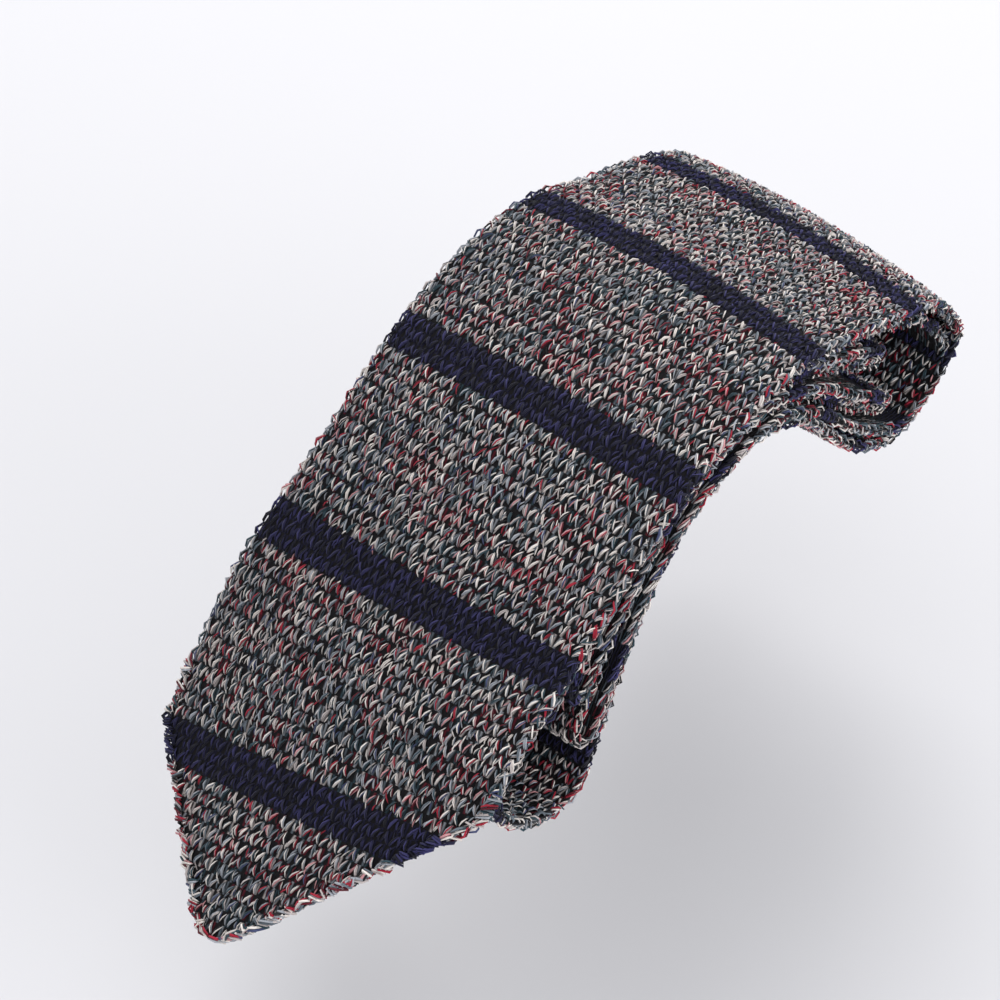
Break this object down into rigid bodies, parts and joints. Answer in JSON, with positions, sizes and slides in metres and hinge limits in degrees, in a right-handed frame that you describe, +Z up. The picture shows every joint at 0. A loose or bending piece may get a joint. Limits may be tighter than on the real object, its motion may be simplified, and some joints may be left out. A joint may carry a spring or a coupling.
{
  "type": "knit tie",
  "caption": "Pointed necktie of heathered knit with dark cross stripes, folded into a flat bundle and draped in an arch over a bar.",
  "frame": {"origin": "on the underside of the bundle at the top of its arch, where it sits on the bar", "axes": "+Z up, +Y from the hanging point towards the far loop, X across the tie"},
  "size_m": [0.068, 0.1826, 0.0743],
  "materials": {
    "heather_yarn": "coarse heathered knit",
    "navy_yarn": "coarse plain knit"
  },
  "bodies": {
    "root": {"knit_tie": "heather_yarn"}
  },
  "joints": []
}
